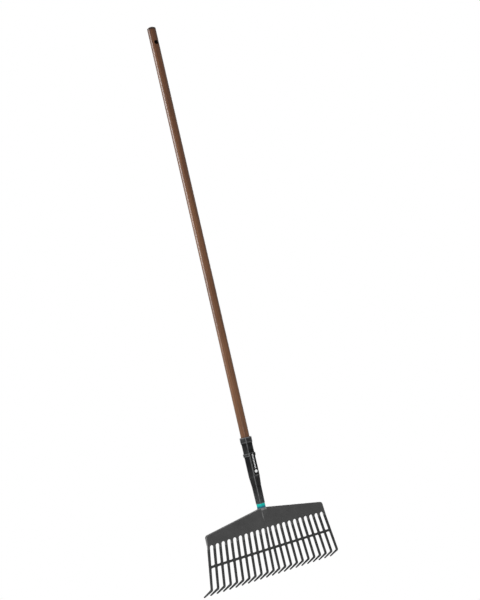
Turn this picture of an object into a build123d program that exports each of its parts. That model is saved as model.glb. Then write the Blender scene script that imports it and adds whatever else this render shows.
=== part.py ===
from build123d import *
import os
from math import asin, atan, cos, degrees, radians, sin, sqrt, tan

# Leaf rake with a wooden pole, a moulded hexagonal socket and a 22-tine fan head.
# Millimetres. The origin is the centre of the hang hole, on the pole's axis. +Z runs
# along the pole towards its domed end, X runs along the row of tines, and the tines'
# hooks point to +Y. The head lies at the bottom, at negative Z.

# ---- pole ----
POLE_DIA = 26.5
POLE_TOP = 52.5                 # domed end, above the hang hole
DOME_RISE = 5.0
HANG_HOLE_DIA = 12.5
POLE_EDGE = 1.5                 # softened rims at both ends

# ---- heights along the pole ----
SHOULDER_Z = -1434.0            # where the head's shoulders meet the pole's axis


def up(height):
    """Z of a level given as its height above the head's shoulders."""
    return SHOULDER_Z + height


COLLAR_TOP = up(207.5)
COLLAR_BOTTOM = up(190.0)
RAMP_TOP = up(173.0)
LIP_TOP = up(159.0)
LIP_BOTTOM = up(149.0)
SPIGOT_BOTTOM = up(126.0)
POLE_BOTTOM = up(100.0)
TAPER_TOP = up(90.0)
TANG_TOP = up(72.0)
TAPER_BOTTOM = up(60.0)
RING_TOP = up(9.0)
RING_BOTTOM = up(-4.0)

# ---- socket: hexagonal, with flats facing -Y and +Y (widths are across the flats) ----
COLLAR_FLATS = 35.5
NECK_FLATS = 32.4
LIP_FLATS = 37.0
BODY_FLATS = 32.8
TUBE_FLATS_TOP = 27.8
TUBE_FLATS_BOTTOM = 26.6
CORNER_ROUND = 3.0
RIM_ROUND = 2.0
LIP_CHAMFER = 2.0
SPIGOT_DIA = 29.6
SLIP = 0.1                      # radial clearance between pieces that slide together

# ---- badge on the front flat ----
BADGE_WIDTH = 17.0
BADGE_PROUD = 2.3
BADGE_POCKET = 0.6
BADGE_BOTTOM = up(92.0)
BADGE_END_ROUND = 6.0
BADGE_EDGE = 0.6
MARK_DEPTH = 0.5
MARK_PROUD = 0.2
MARK_TOP = up(153.5)            # middle of the first hatch bar
MARK_PITCH = 4.4
MARK_COUNT = 10
MARK_WIDTH = 4.2
MARK_BAR = 2.2
MARK_LEAN = 25.0                # lean of the hatch bars, degrees
DOT_DIA = 9.0
DOT_Z = up(105.0)

# ---- colour ring ----
RING_FLATS = 25.4
RING_EDGE = 0.8

# ---- screws ----
SCREW_DIA = 4.0
SCREW_HEAD_DIA = 8.0
SCREW_HEAD_HEIGHT = 2.0
SCREW_RECESS_DIA = 9.0
SCREW_RECESS_DEPTH = 1.6
SCREW_POINT = 4.0
SCREW_TIP = 0.3
CROSS_SLOT_LONG = 4.6
CROSS_SLOT_WIDE = 1.1
CROSS_SLOT_DEEP = 1.2
POLE_SCREW_Z = up(112.0)
POLE_SCREW_LENGTH = 22.0
TANG_SCREW_Z = up(34.0)
TANG_SCREW_LENGTH = 16.0

# ---- head: sizes are in the head's own plane, "down" is the distance from its shoulder ----
HEAD_TILT = 1.5                 # the head leans towards the hooks' side, degrees
HEAD_FRONT_Y = -12.5            # front face of the plate at the shoulder level
PLATE_THICK = 3.5
APEX_HALF = 12.6
APEX_DOWN = 4.6
CORNER_DOWN = 36.5
CORNER_FLARE = 1.8              # the corner stands out past the line of the outer tine
CORNER_RADIUS = 9.0
PLATE_BOTTOM = 76.0
FLANGE_DEPTH = 8.0              # stiffening flange behind the shoulders
FLANGE_THICK = 3.0
FLANGE_FADE_TOP = 46.0          # down the sides it slopes away to nothing
FLANGE_BOTTOM = 72.0
RIB_LENGTH = 34.0               # tine ribs fading out up the back of the plate
TANG_DIA = 16.0
KEEL_TOP_FLATS = 27.0
KEEL_FLATS = 30.0
KEEL_SHOULDER = 9.0             # the keel is widest this far down
KEEL_BOTTOM = 54.0
KEEL_END_HALF = 11.5            # half width of the keel's flat end, inside the plate
KEEL_END_THICK = 2.0

# ---- tines ----
TINES_PER_SIDE = 11
SLOT_DOWN = 61.6                # top of the central slot
SLOT_CURVE = 1.0e-4             # outer slots start lower: down = SLOT_DOWN + curve * x^2
TINE_FIRST_TOP = 7.03           # first tine's centre line at the slot tops
TINE_PITCH_TOP = 19.39
TINE_FIRST_BEND = 9.9           # and at the bends
TINE_PITCH_BEND = 20.96
BEND_DOWN = 187.5
TINE_WIDTH = 7.2
TINE_DEPTH = 6.0
BEND_WIDTH = 6.3
BEND_DEPTH = 5.4
BEND_RADIUS = 3.0               # inside the bend
HOOK_LENGTH = 56.0
HOOK_ANGLE = 65.5               # turn of the hook from the line of the tine, degrees
TIP_WIDTH = 4.4
TIP_DEPTH = 3.4
TIP_ROUND = 1.2

# ---- tie bar ----
BAR_TOP = 121.0
BAR_BOTTOM = 128.0
BAR_RECESS = 1.2
BAR_DEPTH = 4.0

os.makedirs("parts", exist_ok=True)


def save(solid, name):
    """Write one node's solids to its STEP file."""
    solid.label = name
    export_step(solid, f"parts/{name}.step")


def hexagon(flats, round_radius=CORNER_ROUND):
    """Rounded hexagon sketch with flats facing -Y and +Y."""
    outline = RegularPolygon(flats / sqrt(3), 6, major_radius=True)
    return fillet(outline.vertices(), round_radius)


def hex_prism(flats, z_low, z_high):
    return extrude(Pos(0, 0, z_low) * hexagon(flats), z_high - z_low)


def hex_taper(flats_low, flats_high, z_low, z_high):
    return loft([Pos(0, 0, z_low) * hexagon(flats_low), Pos(0, 0, z_high) * hexagon(flats_high)])


def rod(diameter, z_low, z_high):
    cylinder = Cylinder(diameter / 2, z_high - z_low, align=(Align.CENTER, Align.CENTER, Align.MIN))
    return Pos(0, 0, z_low) * cylinder


def head_place():
    """The head's own frame: origin on the front face at the shoulder level, -Z down the head."""
    return Location((0, HEAD_FRONT_Y, SHOULDER_Z), (HEAD_TILT, 0, 0))


def cutting_block(up_or_down):
    """A block larger than the head, for trimming everything on one side of a level."""
    size = 4 * BEND_DOWN
    return Box(size, size, size, align=(Align.CENTER, Align.CENTER, up_or_down))


# ---- shared shapes ----

def y_hole(z, diameter, y_low, y_high):
    """A round hole along Y between two Y positions."""
    middle = (y_low + y_high) / 2
    return Pos(0, middle, z) * Rot(90, 0, 0) * Cylinder(diameter / 2, y_high - y_low)


def front_block(sketch, y_front, y_back):
    """A sketch drawn in X and Z, made solid between two Y positions."""
    return extrude(Pos(0, y_back, 0) * (Plane.XZ * sketch), y_back - y_front)


def side_block(points, width):
    """A closed outline of (y, z) points, made solid across X."""
    outline = make_face(Polyline(*points, close=True))
    return extrude(Pos(-width / 2, 0, 0) * (Plane.YZ * outline), width)


# ---- pole ----

def handle():
    radius = POLE_DIA / 2
    dome_start = POLE_TOP - DOME_RISE
    dome_radius = (radius**2 + DOME_RISE**2) / (2 * DOME_RISE)
    half_way = asin(radius / dome_radius) / 2
    crown = (dome_radius * sin(half_way), POLE_TOP - dome_radius * (1 - cos(half_way)))
    outline = make_face(
        [
            Line((0, POLE_BOTTOM), (radius, POLE_BOTTOM)),
            Line((radius, POLE_BOTTOM), (radius, dome_start)),
            ThreePointArc((radius, dome_start), crown, (0, POLE_TOP)),
            Line((0, POLE_TOP), (0, POLE_BOTTOM)),
        ]
    )
    rims = [vertex for vertex in outline.vertices() if vertex.X > radius - SLIP]
    outline = fillet(rims, POLE_EDGE)
    solid = revolve(Plane.XZ * outline, Axis.Z)
    solid -= y_hole(0, HANG_HOLE_DIA, -POLE_DIA, POLE_DIA)
    pilot_end = pole_screw_seat() - POLE_SCREW_LENGTH - SLIP
    solid -= y_hole(POLE_SCREW_Z, SCREW_DIA + 2 * SLIP, pilot_end, POLE_DIA)
    return solid


# ---- socket ----

def socket_sleeve():
    collar = hex_prism(COLLAR_FLATS, COLLAR_BOTTOM, COLLAR_TOP)
    collar = fillet(collar.faces().sort_by(Axis.Z)[-1].edges(), RIM_ROUND)
    collar = chamfer(collar.faces().sort_by(Axis.Z)[0].edges(), (COLLAR_FLATS - NECK_FLATS) / 2 - SLIP)
    neck = hex_prism(NECK_FLATS, LIP_TOP, COLLAR_BOTTOM)
    front = -(BODY_FLATS / 2 + BADGE_PROUD)
    ramp_side = [(0, LIP_TOP), (front, LIP_TOP), (-NECK_FLATS / 2, RAMP_TOP), (0, RAMP_TOP)]
    ramp = side_block(ramp_side, BADGE_WIDTH)
    spigot = rod(SPIGOT_DIA, SPIGOT_BOTTOM, LIP_TOP)
    solid = collar + neck + ramp + spigot
    return solid - rod(POLE_DIA + 2 * SLIP, SPIGOT_BOTTOM - SLIP, COLLAR_TOP + SLIP)


def pole_screw_seat():
    return BODY_FLATS / 2 - SCREW_RECESS_DEPTH


def tang_screw_seat():
    rise = (TANG_SCREW_Z - RING_TOP) / (TAPER_BOTTOM - RING_TOP)
    flats = TUBE_FLATS_BOTTOM + (TUBE_FLATS_TOP - TUBE_FLATS_BOTTOM) * rise
    return flats / 2 - SCREW_RECESS_DEPTH


def socket_body():
    lip = hex_prism(LIP_FLATS, LIP_BOTTOM, LIP_TOP)
    lip = chamfer(lip.faces().sort_by(Axis.Z)[0].edges(), LIP_CHAMFER)
    barrel = hex_prism(BODY_FLATS, TAPER_TOP, LIP_BOTTOM)
    taper = hex_taper(TUBE_FLATS_TOP, BODY_FLATS, TAPER_BOTTOM, TAPER_TOP)
    tube = hex_taper(TUBE_FLATS_BOTTOM, TUBE_FLATS_TOP, RING_TOP, TAPER_BOTTOM)
    solid = lip + barrel + taper + tube
    solid -= rod(SPIGOT_DIA + 2 * SLIP, SPIGOT_BOTTOM, LIP_TOP + SLIP)
    solid -= rod(POLE_DIA + 2 * SLIP, POLE_BOTTOM, LIP_TOP)
    solid -= rod(TANG_DIA + 2 * SLIP, RING_TOP - SLIP, TANG_TOP + SLIP)
    solid -= front_block(badge_outline(), -LIP_FLATS, BADGE_POCKET - BODY_FLATS / 2)
    for z, seat in ((POLE_SCREW_Z, pole_screw_seat()), (TANG_SCREW_Z, tang_screw_seat())):
        solid -= y_hole(z, SCREW_DIA + 2 * SLIP, 0, LIP_FLATS)
        solid -= y_hole(z, SCREW_RECESS_DIA, seat, LIP_FLATS)
    return solid


# ---- badge ----

def badge_outline():
    height = LIP_TOP - BADGE_BOTTOM
    outline = Pos(0, BADGE_BOTTOM + height / 2) * Rectangle(BADGE_WIDTH, height)
    return fillet(outline.vertices().group_by(Axis.Y)[0], BADGE_END_ROUND)


def badge_mark():
    """A plain hatch of leaning bars above a dot."""
    drift = MARK_WIDTH * tan(radians(MARK_LEAN)) / 2
    half = MARK_WIDTH / 2
    mark = Pos(0, DOT_Z) * Circle(DOT_DIA / 2)
    for count in range(MARK_COUNT):
        z = MARK_TOP - count * MARK_PITCH
        bar = Polyline(
            (-half, z - drift),
            (half, z + drift),
            (half, z + drift + MARK_BAR),
            (-half, z - drift + MARK_BAR),
            close=True,
        )
        mark += make_face(bar)
    return mark


def badge_inlay():
    front = -(BODY_FLATS / 2 + BADGE_PROUD)
    return front_block(badge_mark(), front - MARK_PROUD, front - MARK_PROUD + MARK_DEPTH)


def badge_plate():
    front = -(BODY_FLATS / 2 + BADGE_PROUD)
    solid = front_block(badge_outline(), front, BADGE_POCKET - BODY_FLATS / 2)
    solid = chamfer(solid.faces().sort_by(Axis.Y)[0].edges(), BADGE_EDGE)
    return solid - badge_inlay()


# ---- colour ring ----

def colour_ring():
    solid = hex_prism(RING_FLATS, RING_BOTTOM, RING_TOP)
    ends = solid.faces().sort_by(Axis.Z)
    solid = fillet(ends[0].edges() + ends[-1].edges(), RING_EDGE)
    return solid - rod(TANG_DIA + 2 * SLIP, RING_BOTTOM - SLIP, RING_TOP + SLIP)


# ---- screws ----

def screw(z, seat, length):
    """A pan-head screw driven in from +Y: its head sits on the seat."""
    shank = rod(SCREW_DIA, SCREW_POINT - length, 0)
    point = Cone(SCREW_TIP, SCREW_DIA / 2, SCREW_POINT, align=(Align.CENTER, Align.CENTER, Align.MIN))
    point = Pos(0, 0, -length) * point
    head = rod(SCREW_HEAD_DIA, 0, SCREW_HEAD_HEIGHT)
    head = fillet(head.edges().sort_by(Axis.Z)[-1], SCREW_HEAD_HEIGHT / 2)
    top = (Align.CENTER, Align.CENTER, Align.MAX)
    slot = Box(CROSS_SLOT_LONG, CROSS_SLOT_WIDE, CROSS_SLOT_DEEP, align=top)
    slot += Box(CROSS_SLOT_WIDE, CROSS_SLOT_LONG, CROSS_SLOT_DEEP, align=top)
    solid = head + shank + point - Pos(0, 0, SCREW_HEAD_HEIGHT) * slot
    return Pos(0, seat, z) * Rot(-90, 0, 0) * solid


# ---- where the tines run, in the head's own frame ----

def tine_ends(index):
    """Centre line of a tine, counted 1 to 11 from the middle: (x, down) at its top and its bend."""
    top_x = TINE_FIRST_TOP + TINE_PITCH_TOP * (index - 1)
    top_down = SLOT_DOWN + SLOT_CURVE * top_x**2
    bend_x = TINE_FIRST_BEND + TINE_PITCH_BEND * (index - 1)
    return (top_x, top_down), (bend_x, BEND_DOWN)


def tine_slope(index):
    (top_x, top_down), (bend_x, bend_down) = tine_ends(index)
    return (bend_x - top_x) / (bend_down - top_down)


def tine_x(index, down):
    (top_x, top_down), _ = tine_ends(index)
    return top_x + tine_slope(index) * (down - top_down)


def tine_edge_x(index, down, side):
    """X of a tine's inner (side -1) or outer (side 1) edge."""
    taper = (down - PLATE_BOTTOM) / (BEND_DOWN - PLATE_BOTTOM)
    width = TINE_WIDTH + (BEND_WIDTH - TINE_WIDTH) * max(taper, 0)
    return tine_x(index, down) + side * width / 2 * sqrt(1 + tine_slope(index) ** 2)


# ---- blade ----

def plate_outline():
    corner_x = tine_edge_x(TINES_PER_SIDE, CORNER_DOWN, 1) + CORNER_FLARE
    bottom_x = tine_edge_x(TINES_PER_SIDE, PLATE_BOTTOM, 1)
    right = [(APEX_HALF, -APEX_DOWN), (corner_x, -CORNER_DOWN), (bottom_x, -PLATE_BOTTOM)]
    left = [(-x, z) for x, z in reversed(right)]
    outline = make_face(Polyline(*right, *left, close=True))
    corners = [v for v in outline.vertices() if abs(v.Y + CORNER_DOWN) < SLIP]
    return fillet(corners, CORNER_RADIUS)


def slot(inner, outer):
    """The round-topped gap between two neighbouring centre lines, given as edge functions."""
    guess = SLOT_DOWN + SLOT_CURVE * ((inner(SLOT_DOWN) + outer(SLOT_DOWN)) / 2) ** 2
    radius = (outer(guess) - inner(guess)) / 2
    low = PLATE_BOTTOM + 1
    centre_down = guess + radius
    centre_x = (inner(centre_down) + outer(centre_down)) / 2
    sides = make_face(
        Polyline(
            (centre_x - radius, -centre_down),
            (inner(low), -low),
            (outer(low), -low),
            (centre_x + radius, -centre_down),
            close=True,
        )
    )
    return sides + Pos(centre_x, -centre_down) * Circle(radius)


def slots():
    """All the gaps' tops: one in the middle and the rest mirrored left and right."""
    cuts = slot(lambda down: -tine_edge_x(1, down, -1), lambda down: tine_edge_x(1, down, -1))
    for index in range(1, TINES_PER_SIDE):
        gap = slot(
            lambda down, i=index: tine_edge_x(i, down, 1),
            lambda down, i=index + 1: tine_edge_x(i, down, -1),
        )
        cuts += gap
        cuts += mirror(gap, Plane.YZ)
    return cuts


def shoulder_flange():
    """A rim behind the shoulders and corners, sloping away down the sides."""
    outline = plate_outline()
    back = PLATE_THICK + FLANGE_DEPTH
    rim = front_block(outline - offset(outline, -FLANGE_THICK), PLATE_THICK, back)
    below = [
        (PLATE_THICK, -FLANGE_BOTTOM),
        (back, -FLANGE_FADE_TOP),
        (back, -PLATE_BOTTOM),
        (PLATE_THICK, -PLATE_BOTTOM),
    ]
    return rim - side_block(below, 2 * TINES_PER_SIDE * TINE_PITCH_BEND)


def tine_place(index, side):
    """A tine's own frame: origin at its top on the head's front face, -Z along the tine."""
    (top_x, top_down), _ = tine_ends(index)
    angle = degrees(atan(tine_slope(index)))
    return Location((side * top_x, 0, -top_down), (0, -side * angle, 0))


def rib(index, side):
    """The back of a tine, fading out up the back of the plate."""
    (_, top_down), _ = tine_ends(index)
    start = PLATE_BOTTOM - top_down
    wedge = side_block(
        [
            (PLATE_THICK, -start - TINE_DEPTH),
            (TINE_DEPTH, -start - TINE_DEPTH),
            (TINE_DEPTH, -start),
            (PLATE_THICK, RIB_LENGTH - start),
        ],
        TINE_WIDTH,
    )
    return tine_place(index, side) * wedge


def keel():
    """The hexagonal root of the tang, flattening until it sinks into the plate."""
    end_y = HEAD_FRONT_Y + KEEL_BOTTOM * sin(radians(HEAD_TILT)) + PLATE_THICK / 2
    end_z = SHOULDER_Z - KEEL_BOTTOM * cos(radians(HEAD_TILT))
    half, thin = KEEL_END_HALF, KEEL_END_THICK / 2
    back = [(half, 0), (half / 2, thin), (-half / 2, thin)]
    front = [(-x, -y) for x, y in back]
    end = Pos(0, end_y, end_z) * make_face(Polyline(*back, *front, close=True))
    widest = Pos(0, 0, SHOULDER_Z - KEEL_SHOULDER) * RegularPolygon(KEEL_FLATS / sqrt(3), 6)
    top = Pos(0, 0, RING_BOTTOM) * RegularPolygon(KEEL_TOP_FLATS / sqrt(3), 6)
    return loft([end, widest]) + loft([widest, top])


def blade():
    plate = front_block(plate_outline() - slots(), 0, PLATE_THICK) + shoulder_flange()
    for index in range(1, TINES_PER_SIDE + 1):
        plate += rib(index, -1)
        plate += rib(index, 1)
    below = Pos(0, 0, -PLATE_BOTTOM) * cutting_block(Align.MAX)
    solid = head_place() * (plate - below) + keel() + rod(TANG_DIA, RING_BOTTOM, TANG_TOP)
    pilot_end = tang_screw_seat() - TANG_SCREW_LENGTH - SLIP
    return solid - y_hole(TANG_SCREW_Z, SCREW_DIA + 2 * SLIP, pilot_end, TANG_DIA)


# ---- tines ----

def tine_side(length):
    """Side outline of a tine: tapering depth, one bend, and the hook."""
    turn = radians(HOOK_ANGLE)
    along = (sin(turn), -cos(turn))
    outward = (-cos(turn), -sin(turn))
    middle = (BEND_DEPTH / 2, -length)
    tip = (middle[0] + HOOK_LENGTH * along[0], middle[1] + HOOK_LENGTH * along[1])
    corner = BEND_DEPTH / 2 * tan(turn / 2)
    half_tip = TIP_DEPTH / 2
    outline = make_face(
        Polyline(
            (0, 0),
            (0, -length - corner),
            (tip[0] + half_tip * outward[0], tip[1] + half_tip * outward[1]),
            (tip[0] - half_tip * outward[0], tip[1] - half_tip * outward[1]),
            (BEND_DEPTH, -length + corner),
            (TINE_DEPTH, 0),
            close=True,
        )
    )
    by_y = outline.vertices().sort_by(Axis.X)
    outline = fillet(by_y[-2:], TIP_ROUND)
    outer = [v for v in outline.vertices() if abs(v.X) < SLIP and v.Y < -SLIP]
    outline = fillet(outer, BEND_RADIUS + BEND_DEPTH)
    inner_corner = (BEND_DEPTH, -length + corner)
    inner = [v for v in outline.vertices() if (Vector(v.X, v.Y) - Vector(inner_corner)).length < SLIP]
    return fillet(inner, BEND_RADIUS), tip[0] + half_tip


def tine(index, side):
    (top_x, top_down), (bend_x, bend_down) = tine_ends(index)
    length = sqrt((bend_x - top_x) ** 2 + (bend_down - top_down) ** 2)
    outline, reach = tine_side(length)
    solid = extrude(Pos(-TINE_WIDTH / 2, 0, 0) * (Plane.YZ * outline), TINE_WIDTH)
    start = PLATE_BOTTOM - top_down
    half, half_bend, half_tip = TINE_WIDTH / 2, BEND_WIDTH / 2, TIP_WIDTH / 2
    low = -length - HOOK_LENGTH
    front_view = make_face(
        Polyline(
            (-half, 0), (-half, -start), (-half_bend, -length), (-half_bend, low),
            (half_bend, low), (half_bend, -length), (half, -start), (half, 0), close=True,
        )
    )
    top_view = make_face(
        Polyline(
            (-half, -1), (half, -1), (half, TINE_DEPTH), (half_tip, reach),
            (-half_tip, reach), (-half, TINE_DEPTH), close=True,
        )
    )
    solid &= front_block(front_view, -1, reach + 1)
    solid &= extrude(Pos(0, 0, low) * top_view, -low + 1)
    solid = tine_place(index, side) * solid
    solid -= Pos(0, 0, -PLATE_BOTTOM) * cutting_block(Align.MIN)
    return head_place() * solid


def tie_bar(tines):
    """The short bars between neighbouring tines, in one line across the head."""
    reach = tine_x(TINES_PER_SIDE, BAR_BOTTOM)
    height = BAR_BOTTOM - BAR_TOP
    bar = Box(2 * reach, BAR_DEPTH, height, align=(Align.CENTER, Align.MIN, Align.MIN))
    bar = head_place() * Pos(0, BAR_RECESS, -BAR_BOTTOM) * bar
    for one in tines:
        bar -= one
    return bar


save(handle(), "handle")
save(socket_sleeve(), "socket_sleeve")
save(socket_body(), "socket_body")
save(badge_plate(), "badge_plate")
save(badge_inlay(), "badge_inlay")
save(colour_ring(), "colour_ring")
save(screw(POLE_SCREW_Z, pole_screw_seat(), POLE_SCREW_LENGTH), "pole_screw")
save(screw(TANG_SCREW_Z, tang_screw_seat(), TANG_SCREW_LENGTH), "tang_screw")
save(blade(), "blade")

# Tines are numbered from -X to +X.
all_tines = [tine(index, -1) for index in range(TINES_PER_SIDE, 0, -1)]
all_tines += [tine(index, 1) for index in range(1, TINES_PER_SIDE + 1)]
for number, one_tine in enumerate(all_tines, start=1):
    save(one_tine, f"tine_{number:02d}")
save(tie_bar(all_tines), "tie_bar")
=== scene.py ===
from math import asin, atan, atan2, cos, pi, radians, sin, sqrt, tan

import bmesh
import bpy
from mathutils import Matrix, Vector

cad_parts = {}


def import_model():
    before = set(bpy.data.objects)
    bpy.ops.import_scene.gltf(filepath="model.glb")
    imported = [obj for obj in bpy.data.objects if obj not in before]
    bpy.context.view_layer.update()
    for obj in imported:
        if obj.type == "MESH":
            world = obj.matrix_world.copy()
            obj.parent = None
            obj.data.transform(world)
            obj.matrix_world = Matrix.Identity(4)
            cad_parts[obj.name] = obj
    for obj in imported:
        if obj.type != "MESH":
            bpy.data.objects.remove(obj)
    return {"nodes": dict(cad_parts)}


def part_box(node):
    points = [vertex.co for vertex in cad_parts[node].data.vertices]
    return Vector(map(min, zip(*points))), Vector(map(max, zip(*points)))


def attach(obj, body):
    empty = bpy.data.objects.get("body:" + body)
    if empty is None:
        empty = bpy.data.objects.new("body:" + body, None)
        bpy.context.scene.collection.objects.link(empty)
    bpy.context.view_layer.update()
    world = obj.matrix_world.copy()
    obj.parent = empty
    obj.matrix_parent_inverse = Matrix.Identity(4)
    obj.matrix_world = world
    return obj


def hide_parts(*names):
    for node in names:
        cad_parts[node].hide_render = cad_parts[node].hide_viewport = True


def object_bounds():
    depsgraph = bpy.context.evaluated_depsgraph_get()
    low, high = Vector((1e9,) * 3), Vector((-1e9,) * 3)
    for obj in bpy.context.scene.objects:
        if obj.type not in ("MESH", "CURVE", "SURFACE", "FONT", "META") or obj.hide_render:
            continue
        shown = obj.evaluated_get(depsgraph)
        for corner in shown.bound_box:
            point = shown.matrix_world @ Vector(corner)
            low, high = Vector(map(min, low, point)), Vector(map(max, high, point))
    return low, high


# Leaf rake: the looks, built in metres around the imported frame. +Z runs up the pole, X along the
# row of tines, and the hooks point to +Y.

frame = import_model()
cad_low, cad_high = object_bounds()

pole_low, pole_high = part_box("handle")
_, sleeve_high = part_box("socket_sleeve")
body_low, body_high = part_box("socket_body")
badge_low, badge_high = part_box("badge_plate")
mark_low, mark_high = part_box("badge_inlay")
ring_low, ring_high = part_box("colour_ring")

# ---- fineness of the meshes ----
WELD = 1e-6                             # points closer than this are one point
CORNER_STEPS = 6                        # in a rounded corner
BOX_CORNER_STEPS = 4
SHOULDER_STEPS = 14
KEEL_CORNER_STEPS = 2
SLOT_STEPS = 16
RIB_STEPS = 6
TINE_STEPS = 8
DOME_STEPS = 10
SHAFT_RINGS = 28
PATCH_STEPS = 6                         # from the patch's border in to the hang hole's rim
EASE_STEPS = 5                          # over the softened rim
DOT_POINTS = 48
GLINT_REACH = 0.0012                     # the painted edge highlight may reach this far in from its edge

# ---- driving sizes: those of the CAD parts that their boxes don't give ----
SHOULDER_Z = ring_low.z + 0.004
CORNER_ROUND = 0.003

POLE_RADIUS = pole_high.x
DOME_RISE = 0.005
POLE_EDGE = 0.0015
HANG_HOLE_RADIUS = 0.00625
HANG_HOLE_EASE = 0.0009                 # softened rim of each mouth
HANG_HOLE_SKIN = 0.0005                 # thickness of the near-black lining of painted shade in the hole
HANG_HOLE_CLEAR = 0.00002               # the lining stands clear of the pole's own bore
POLE_COLUMNS = 96
PATCH_COLUMNS = POLE_COLUMNS // 4       # a quarter of the girth holds each mouth of the hang hole
PATCH_HALF = 0.010                      # half the height of those patches
UPPER_POLE_SHADE = 0.45                       # half the length over which painted shade darkens the pole upwards
END_GRAIN_HALF = 0.0052                 # half the depth of the mask for the end grain

COLLAR_HALF = 0.01775                   # half widths are across the flats
NECK_HALF = 0.0162
LIP_HALF = 0.0185
BODY_HALF = 0.0164
TUBE_TOP_HALF = 0.0139
TUBE_BOTTOM_HALF = 0.0133
SPIGOT_RADIUS = 0.0148
BORE_RADIUS = 0.01335                   # of the sleeve, around the pole
TANG_RADIUS = 0.0081                    # of the bores around the tang
SLEEVE_LIFT = 0.0001                    # the sleeve's shoulder sits this far above the lip
SLEEVE_ROUND = 0.0004
SPIGOT_ROUND = 0.0005
COLLAR_FLARE_BELOW = 0.0035             # the neck's flare starts this far under the collar's foot
COLLAR_FLARE_ABOVE = 0.0025             # and ends this far over it
COLLAR_BLEND = 0.006
COLLAR_RIM = 0.0018
COLLAR_MOUTH = 0.0007
TUBE_FOOT_ROUND = 0.0008
TAPER_BLEND = 0.02
LIP_SLOPE_BELOW = 0.0004                # the slope out to the lip starts this far under its foot
LIP_SLOPE_ABOVE = 0.0022                # and ends this far over it
LIP_ROUND = 0.0012
LIP_MOUTH = 0.0003
TANG_MOUTH = 0.0004
RAMP_ROOT = 0.004                       # the back of the badge's ramp is this far inside the neck
RAMP_ROUND = 0.0012
RAMP_CORNER_STEPS = 12
RAMP_SINK = Vector((0.0025, 0.003))     # past its crest the ramp runs on in and up, hidden
BADGE_TOP_ROUND = 0.0005
BADGE_END_ROUND = 0.006
BADGE_END_STEPS = 8
BADGE_RIM = 0.0008
MARK_LEAN = radians(25)
MARK_COUNT = 10
MARK_PITCH = 0.0044
MARK_BAR = 0.0022
MARK_HALF = 0.0021
MARK_ROUND = 0.0004
MARK_ROUND_STEPS = 3
INK_EDGE = 0.0001
DOT_RADIUS = 0.0045
RING_DRAW = 0.0002                      # the ring is drawn in by this much at its foot
RING_DRAW_TOP = 0.0035                  # and has its full width from this far up
RING_BLEND = 0.0006
RING_FOOT_ROUND = 0.0012
RING_TOP_ROUND = 0.0011
SCREW_ROUND = 0.0001
SCREW_ROUND_STEPS = 2

HEAD_TILT = radians(1.5)
HEAD_FRONT_Y = -0.0125
PLATE_THICK = 0.0035
APEX_HALF = 0.0126
APEX_DOWN = 0.0046
CORNER_DOWN = 0.0365
CORNER_FLARE = 0.0018
CORNER_RADIUS = 0.009
PLATE_BOTTOM = 0.076
FLANGE_DEPTH = 0.008
FLANGE_THICK = 0.003
FLANGE_FADE_TOP = 0.046
FLANGE_BOTTOM = 0.072
FLANGE_ROUND = 0.0007
FLANGE_CLEAR = 0.0002                   # the rim's skin stays this far inside the plate's outline
RIB_LENGTH = 0.034
KEEL_TOP_HALF = 0.0135
KEEL_HALF = 0.015
KEEL_SHOULDER = 0.009                   # the keel is widest this far down
KEEL_BOTTOM = 0.054
KEEL_END_HALF = 0.0115
KEEL_END_THICK = 0.002
KEEL_TOP_ROUND = 0.0006
KEEL_CORNER = 0.0018
KEEL_END_CORNER = 0.0002

TINES_PER_SIDE = 11
SLOT_DOWN = 0.0616
SLOT_CURVE = 0.1                        # outer slots start lower: down = SLOT_DOWN + curve * x^2
TINE_FIRST_TOP = 0.00703
TINE_PITCH_TOP = 0.01939
TINE_FIRST_BEND = 0.0099
TINE_PITCH_BEND = 0.02096
BEND_DOWN = 0.1875
TINE_WIDTH = 0.0072
TINE_DEPTH = 0.006
BEND_WIDTH = 0.0063
BEND_DEPTH = 0.0054
BEND_RADIUS = 0.003
HOOK_LENGTH = 0.056
HOOK_TURN = radians(65.5)               # of a hook from the line of its tine
TIP_WIDTH = 0.0044
TIP_DEPTH = 0.0034
TIP_ROUND = 0.0016
TINE_ROUND = 0.0009
TINE_SETBACK = 0.00005                  # keeps a tine's skin just inside the plate's
RIB_SINK = 0.0004                       # a rib starts this far inside the plate's back
TIP_BLUNT = 0.35                        # how wide a tip is left at its very end
TIP_STOP = 0.02                         # and where it is cut off, in tip radii

BAR_TOP = 0.121
BAR_BOTTOM = 0.128
BAR_RECESS = 0.0012
BAR_DEPTH = 0.004
BAR_FLARES = ((0.02, 1.0), (0.07, 0.5), (0.14, 0.18), (0.24, 0.0))    # (part of the gap, flare)
BAR_BURY = 0.0008                       # its ends lie this deep in the tines
BAR_FLARE = 0.0016                      # the bar widens by this on each side where it meets a tine


def up(height):
    """Z of a level given as its height above the head's shoulders."""
    return SHOULDER_Z + height


COLLAR_BOTTOM = up(0.190)
RAMP_TOP = up(0.173)
LIP_TOP = body_high.z
LIP_BOTTOM = up(0.149)
SPIGOT_BOTTOM = up(0.126)
TAPER_TOP = up(0.090)
TANG_TOP = up(0.072)
TAPER_BOTTOM = up(0.060)
MARK_TOP = up(0.1535)
DOT_Z = up(0.105)


# ---- outlines and rings ----

def arc_corner(before, here, after, radius, steps=CORNER_STEPS):
    """The points of the arc of this radius that rounds the corner at here."""
    back = (before - here).normalized()
    ahead = (after - here).normalized()
    half_turn = (pi - back.angle(ahead)) / 2
    reach = radius * tan(half_turn)
    start = here + back * reach
    end = here + ahead * reach
    points = []
    for step in range(steps + 1):
        t = step / steps
        a, b, c = (1 - t) ** 2, 2 * t * (1 - t) * cos(half_turn), t**2
        points.append((start * a + here * b + end * c) / (a + b + c))
    return points


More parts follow.
